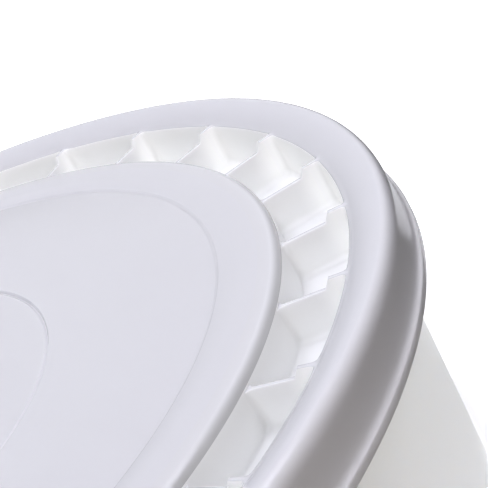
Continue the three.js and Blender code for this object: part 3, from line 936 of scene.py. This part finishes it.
place("bail_wire", build_bail(), "bail", STEEL, "bail_handle", angle=50)
place("grip_roller", build_grip(), "grip", GRIP_PLASTIC, "handle_grip", angle=50)

# ------------------------------------------------------------------ tap

STEM_END, STEM_RADIUS = 122, 12.2
FLANGE = TAP_FACE + 3.1
NUT_OUT = TAP_INNER - 3.1
NUT_IN = NUT_OUT - 9
HOUSING_REACH = 186                                  # from the bucket's axis to the plug's
HOUSING = Matrix.Translation((0, -HOUSING_REACH, 0))
HOUSING_LOW, HOUSING_HIGH = TAP_Z - 14, TAP_Z + 14
TAP_BORE = 6.5


def threaded_stem():
    """A helical thread: rows of a revolved surface whose radius follows the turn."""
    steps, pitch, depth = 72, 2.6, 0.9
    shell = Shell()
    rows = []
    low, high = STEM_END, FLANGE + 0.5
    count = int((high - low) / 0.42)
    for i in range(count + 1):
        z = low + (high - low) * i / count
        taper = min((z - low) / 2, 1)
        row = []
        for k in range(steps):
            wave = abs(((z / pitch - k / steps) % 1) * 2 - 1)
            cut = depth * min(max(wave * 1.6 - 0.3, 0), 1) * taper
            row.append(polar(STEM_RADIUS - (1 - taper) - cut, 2 * math.pi * k / steps, z))
        rows.append(row)
    made = shell.rows(rows, closed=True)
    shell.faces.append(tuple(made[0]))
    shell.faces.append(tuple(made[-1]))
    return shell.mesh("stem", FACING)


def build_tap_body():
    """Stem, flange, barrel, housing and spout, with the bores cut through them."""
    barrel = lathe("barrel", outline([
        (0, FLANGE), (19, FLANGE, 0.5), (19, FLANGE + 3, 0.8), (17.5, FLANGE + 4, 0.8),
        (11.6, FLANGE + 4.6, 2.2), (10.8, FLANGE + 9, 1), (10, HOUSING_REACH), (0, HOUSING_REACH)]),
        72, turn=FACING)
    housing = lathe("housing", outline([
        (0, HOUSING_LOW - 3), (12.2, HOUSING_LOW - 3, 1), (13.5, HOUSING_LOW - 1.4, 1.2),
        (13.5, HOUSING_HIGH, 0.6), (0, HOUSING_HIGH)]), 72, turn=HOUSING)
    spout = lathe("spout", outline([
        (0, 9), (7.4, 9, 0.4), (7.9, 9.8, 0.6), (7.9, 11.6, 0.6), (7.7, 12.6, 0.4), (9, HOUSING_LOW - 4.6, 2),
        (11.5, HOUSING_LOW - 2.4), (0, HOUSING_LOW + 1)]), 60, turn=HOUSING)
    plug_bore = lathe("plug_bore", [(0, HOUSING_LOW), (9.5, HOUSING_LOW), (9.5, HOUSING_HIGH - 0.5),
                                    (10.1, HOUSING_HIGH + 1), (0, HOUSING_HIGH + 1)], 72, turn=HOUSING)
    spout_bore = lathe("spout_bore", [
        (0, 8), (6.7, 8), (6.2, 9.6), (6.2, HOUSING_LOW + 1), (0, HOUSING_LOW + 1)], 48, turn=HOUSING)
    barrel_bore = lathe("barrel_bore", [
        (0, STEM_END - 1), (TAP_BORE, STEM_END - 1), (TAP_BORE, HOUSING_REACH), (0, HOUSING_REACH)],
        48, turn=FACING)
    return combine("tap_moulding", barrel, (JOIN, threaded_stem()), (JOIN, housing), (JOIN, spout),
                   (CUT, plug_bore), (CUT, spout_bore), (CUT, barrel_bore))


def build_tap_lever():
    """The plug with its port, and the paddle that turns it."""
    foot, cap = HOUSING_LOW + 0.3, HOUSING_HIGH + 0.3
    plug = lathe("plug", outline([
        (0, foot), (9.2, foot, 0.5), (9.2, cap), (14, cap, 0.4), (14, cap + 4, 0.6), (12.5, cap + 5.5, 0.8),
        (10.2, cap + 5.5, 0.4), (9.6, cap + 4.8, 0.4), (0, cap + 4.8)]), 72, turn=HOUSING)
    shape = outline([(0, -6), (18, -4.5, 4), *arc((38, 0), 7.5, -90, 90, 16), (18, 4.5, 4), (0, 6)])
    paddle = prism("paddle", shape, cap + 0.6, cap + 5, 1.0, 1.3, turn=HOUSING)
    ridge = outline([(12, -1.2), (36, -0.9, 0.4), (36, 0.9, 0.4), (12, 1.2)], closed=True)
    rib = prism("rib", ridge, cap + 3, cap + 5.5, 0.0, 0.7, turn=HOUSING)
    cavity = lathe("cavity", [
        (0, foot - 1), (6.2, foot - 1), (6.2, TAP_Z + TAP_BORE), (0, TAP_Z + TAP_BORE)], 48, turn=HOUSING)
    port = lathe("port", [(0, 0), (TAP_BORE, 0), (TAP_BORE, 20), (0, 20)], 48,
                 turn=HOUSING @ Matrix.Translation((0, 0, TAP_Z)) @ Matrix.Rotation(-math.pi / 2, 4, "Y"))
    return combine("lever_moulding", plug, (JOIN, paddle), (JOIN, rib), (CUT, cavity), (CUT, port))


def build_washer(name, near):
    """A rubber ring on the stem, from near outwards."""
    inner, outer, far = STEM_RADIUS + 0.3, 19.5, near + 2.5
    section = outline([(inner, near, 0.4), (outer, near, 0.7), (outer, far, 0.7), (inner, far, 0.4)],
                      closed=True)
    return lathe(name, section, 72, closed=True, turn=FACING)


def build_nut():
    """The hexagonal nut inside the bucket."""
    turns = [math.pi / 2 + math.pi / 3 * i for i in range(6)]
    hexagon = outline([(21 * math.cos(turn), 21 * math.sin(turn), 1.2) for turn in turns], closed=True)
    hole = STEM_RADIUS + 0.3
    cut = lathe("hole", [(0, NUT_IN - 1), (hole + 1, NUT_IN - 1), (hole, NUT_IN + 1), (hole, NUT_OUT - 1),
                         (hole + 1, NUT_OUT + 1), (0, NUT_OUT + 1)], 72, turn=FACING)
    return combine("nut_ring", prism("hexagon", hexagon, NUT_IN, NUT_OUT, 0.8, 0.8, turn=FACING), (CUT, cut))


def build_reducer():
    """The cap on the stem's end, with a slot that lets the clear liquid in above the sediment."""
    mouth, end = NUT_IN - 0.3, STEM_END - 10
    bore = STEM_RADIUS + 0.3
    cap = lathe("cap", outline([
        (0, end), (12.5, end, 1.4), (15, end + 3, 1.2), (15, mouth, 0.6), (bore, mouth, 0.4),
        (bore, STEM_END - 2, 0.3), (STEM_RADIUS - 1.5, end + 2.5, 0.6), (0, end + 2.5)]), 72, turn=FACING)
    opening = outline([(-5, 4, 1), (5, 4, 1), (5, 18), (-5, 18)], closed=True)
    slot = prism("slot", opening, end + 3, STEM_END - 1, turn=FACING)
    return combine("reducer_cap", cap, (CUT, slot))


place("tap_moulding", build_tap_body(), "bucket", TAP_PLASTIC, "tap_body", angle=35)
place("lever_moulding", build_tap_lever(), "tap_lever", LEVER_PLASTIC, "tap_lever",
      angle=35)
for name, near, node in (("washer_outer", TAP_FACE + 0.3, "tap_washer_outer"),
                         ("washer_inner", TAP_INNER - 2.8, "tap_washer_inner")):
    place(name, build_washer(name, near), "bucket", GREY_RUBBER, node, angle=50)
place("nut_ring", build_nut(), "bucket", TAP_PLASTIC, "tap_nut", angle=35)
place("reducer_cap", build_reducer(), "bucket", TAP_PLASTIC, "sediment_reducer", angle=35)

# ------------------------------------------------------------------ stage and light


def area_light(name, location, target, size, power, color):
    """A rectangular lamp that faces a point; lengths here are in metres."""
    data = bpy.data.lights.new(name, "AREA")
    data.shape = "RECTANGLE"
    data.size, data.size_y = size
    data.energy = power
    data.color = color
    light = add_object(name, data)
    light.location = location
    light.rotation_mode = "QUATERNION"
    light.rotation_quaternion = (Vector(target) - Vector(location)).to_track_quat("-Z", "Y")
    return light


def floor_paper():
    """White paper, a little brighter away from the bucket, as a backdrop that has its own light."""
    paper = new_material("floor_paper", (0.85, 0.85, 0.85), 0.9)
    nodes, links = tree(paper)
    shader = nodes["Principled BSDF"]
    shader.inputs["Emission Color"].default_value = (1, 1, 1, 1)
    where = nodes.new("ShaderNodeTexCoord")
    length = nodes.new("ShaderNodeVectorMath")
    length.operation = "LENGTH"
    glow = nodes.new("ShaderNodeMapRange")
    glow.inputs["From Min"].default_value = 0.3
    glow.inputs["From Max"].default_value = 1.5
    glow.inputs["To Min"].default_value = 0.45
    glow.inputs["To Max"].default_value = 1.1
    links.new(where.outputs["Object"], length.inputs[0])
    links.new(length.outputs["Value"], glow.inputs["Value"])
    links.new(glow.outputs["Result"], shader.inputs["Emission Strength"])
    return paper


def make_floor():
    """The paper itself, which lights and mirrors nothing."""
    reach = 6
    data = bpy.data.meshes.new("floor")
    signs = ((-1, -1), (1, -1), (1, 1), (-1, 1))
    data.from_pydata([(x * reach, y * reach, 0) for x, y in signs], [], [(0, 1, 2, 3)])
    data.materials.append(floor_paper())
    floor = add_object("floor", data)
    floor.visible_diffuse = False
    floor.visible_glossy = False
    floor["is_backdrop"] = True


def make_lamps():
    """A soft light from above for everything, and lamps that light only the lid or only the rest."""
    white = (1, 1, 1)
    behind = Vector((0.69, 0.72, 0))        # level, away from the camera
    aside = Vector((0.72, -0.69, 0))        # level, to the camera's right
    centre = Vector((0, 0, LID_Z * MM))
    above = centre - behind * 0.2 + aside * 0.15 + Vector((0, 0, 1.4))
    area_light("overhead", above, centre, (2, 2), 33.5, (0.89, 0.89, 1))
    before = centre - behind * 1.6 - aside * 0.2 + Vector((0, 0, 0.3))
    fill = area_light("fill", before, centre, (1, 1), 5.2, (1, 0.85, 0.68))
    fill.visible_glossy = False

    rest = bpy.data.collections.new("lit_from_the_sides")
    for piece in list(bpy.context.scene.collection.objects):
        if piece.type == "MESH" and piece.name not in ("lid_moulding", "floor"):
            rest.objects.link(piece)
    sides = (("side_front", (-0.9, -1.8, -0.1), 16), ("side_right", (1.6, -1.1, -0.12), 33),
             ("side_back", (0.9, 1.8, 0.2), 28), ("side_left", (-1.8, 0.8, 0.2), 24))
    for name, offset, power in sides:
        lamp = area_light(name, centre + Vector(offset), Vector((0, 0, 0.2)), (1.2, 1), power, white)
        lamp.light_linking.receiver_collection = rest

    lid_only = bpy.data.collections.new("lit_from_behind")
    lid_only.objects.link(lid_piece)
    for name, angle, power in (("skirt_back", 118, 7), ("skirt_left", 176, 6), ("skirt_right", 14, 6)):
        lamp = area_light(name, polar(1.3, math.radians(angle), 0.08), centre, (0.8, 0.12), power, white)
        lamp.light_linking.receiver_collection = lid_only
        lamp.visible_glossy = False

    near = centre + Vector((0.047, -0.164, 0))      # the near end of the skirt, which mirrors the card
    card_at = near + Vector((0.61, 0.12, -0.31))
    card = area_light("reflection_card", card_at, near, (0.29, 0.12), 0.08, (0.93, 0.93, 1))
    card.visible_camera = False
    card.visible_diffuse = False


def make_world():
    """White all round above the floor, for reflections only: the diffuse light comes from the lamps."""
    world = bpy.data.worlds.new("studio")
    bpy.context.scene.world = world
    world.use_nodes = True
    world.cycles_visibility.diffuse = False
    nodes, links = tree(world)
    sky = nodes["Background"]
    direction = nodes.new("ShaderNodeTexCoord")
    split = nodes.new("ShaderNodeSeparateXYZ")
    rise = nodes.new("ShaderNodeMapRange")
    rise.inputs["From Min"].default_value = -0.2
    rise.inputs["From Max"].default_value = 0.3
    rise.inputs["To Min"].default_value = 0.12
    links.new(direction.outputs["Generated"], split.inputs["Vector"])
    links.new(split.outputs["Z"], rise.inputs["Value"])
    seen = nodes.new("ShaderNodeLightPath")
    choose = nodes.new("ShaderNodeMath")
    choose.operation = "MAXIMUM"
    links.new(rise.outputs["Result"], choose.inputs[0])
    links.new(seen.outputs["Is Camera Ray"], choose.inputs[1])
    links.new(choose.outputs["Value"], sky.inputs["Color"])


make_floor()
make_world()
make_lamps()
bpy.context.scene.view_settings.view_transform = "Standard"

# ------------------------------------------------------------------ sizes and finish


def corners(box):
    """A box as plain lists."""
    return [list(corner) for corner in box]


{"cad": corners(CAD_BOX), "visual": corners(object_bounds())}
